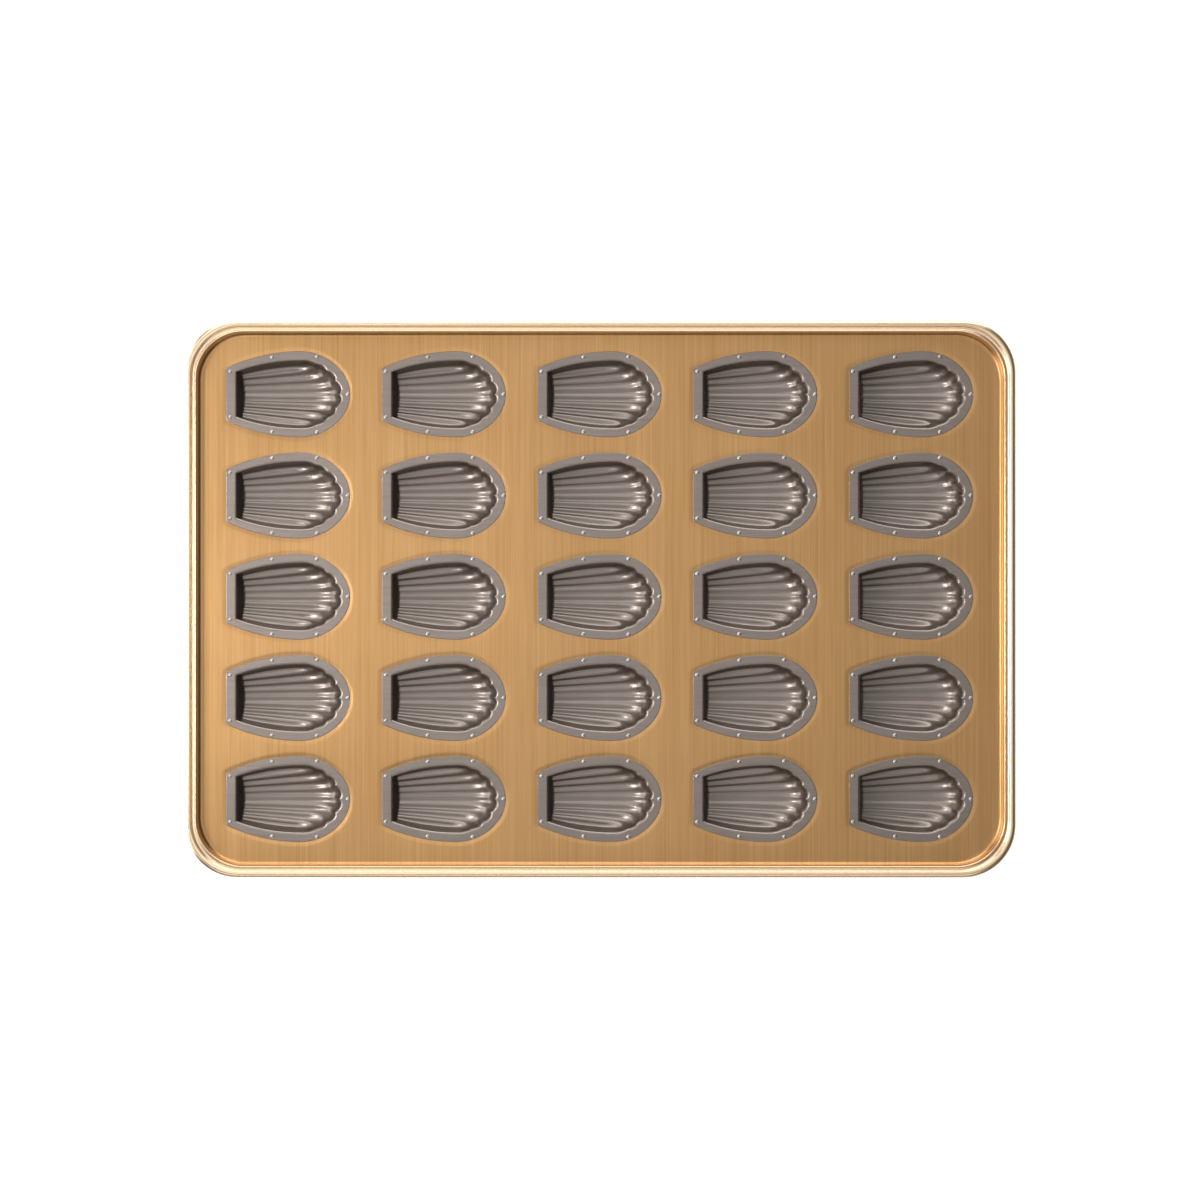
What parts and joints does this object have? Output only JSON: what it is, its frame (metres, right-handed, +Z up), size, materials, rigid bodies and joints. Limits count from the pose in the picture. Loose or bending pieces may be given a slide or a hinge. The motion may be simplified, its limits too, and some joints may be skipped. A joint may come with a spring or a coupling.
{
  "type": "madeleine pan",
  "caption": "Bakery tray with a rolled rim and rows of fluted shell-shaped cake moulds riveted into recesses in its sheet.",
  "frame": {"origin": "middle of the tray's plan, on the surface that the moulds' undersides stand on", "axes": "+X along the length, towards the round ends of the moulds; +Y across the width; +Z up, out of the cavities"},
  "size_m": [0.6, 0.4026, 0.0274],
  "materials": {
    "tray": "gold-coloured satin with fine brush lines across the width",
    "wire": "plain drawn wire",
    "mould": "satin grey release coating on steel",
    "rivet": "plain satin"
  },
  "bodies": {
    "root": {"tray_sheet": "tray", "rim_wire": "wire", "mould_r1_c1": "mould", "mould_r1_c2": "mould", "mould_r1_c3": "mould", "mould_r1_c4": "mould", "mould_r1_c5": "mould", "mould_r2_c1": "mould", "mould_r2_c2": "mould", "mould_r2_c3": "mould", "mould_r2_c4": "mould", "mould_r2_c5": "mould", "mould_r3_c1": "mould", "mould_r3_c2": "mould", "mould_r3_c3": "mould", "mould_r3_c4": "mould", "mould_r3_c5": "mould", "mould_r4_c1": "mould", "mould_r4_c2": "mould", "mould_r4_c3": "mould", "mould_r4_c4": "mould", "mould_r4_c5": "mould", "mould_r5_c1": "mould", "mould_r5_c2": "mould", "mould_r5_c3": "mould", "mould_r5_c4": "mould", "mould_r5_c5": "mould", "rivets_r1_c1": "rivet", "rivets_r1_c2": "rivet", "rivets_r1_c3": "rivet", "rivets_r1_c4": "rivet", "rivets_r1_c5": "rivet", "rivets_r2_c1": "rivet", "rivets_r2_c2": "rivet", "rivets_r2_c3": "rivet", "rivets_r2_c4": "rivet", "rivets_r2_c5": "rivet", "rivets_r3_c1": "rivet", "rivets_r3_c2": "rivet", "rivets_r3_c3": "rivet", "rivets_r3_c4": "rivet", "rivets_r3_c5": "rivet", "rivets_r4_c1": "rivet", "rivets_r4_c2": "rivet", "rivets_r4_c3": "rivet", "rivets_r4_c4": "rivet", "rivets_r4_c5": "rivet", "rivets_r5_c1": "rivet", "rivets_r5_c2": "rivet", "rivets_r5_c3": "rivet", "rivets_r5_c4": "rivet", "rivets_r5_c5": "rivet"}
  },
  "joints": []
}
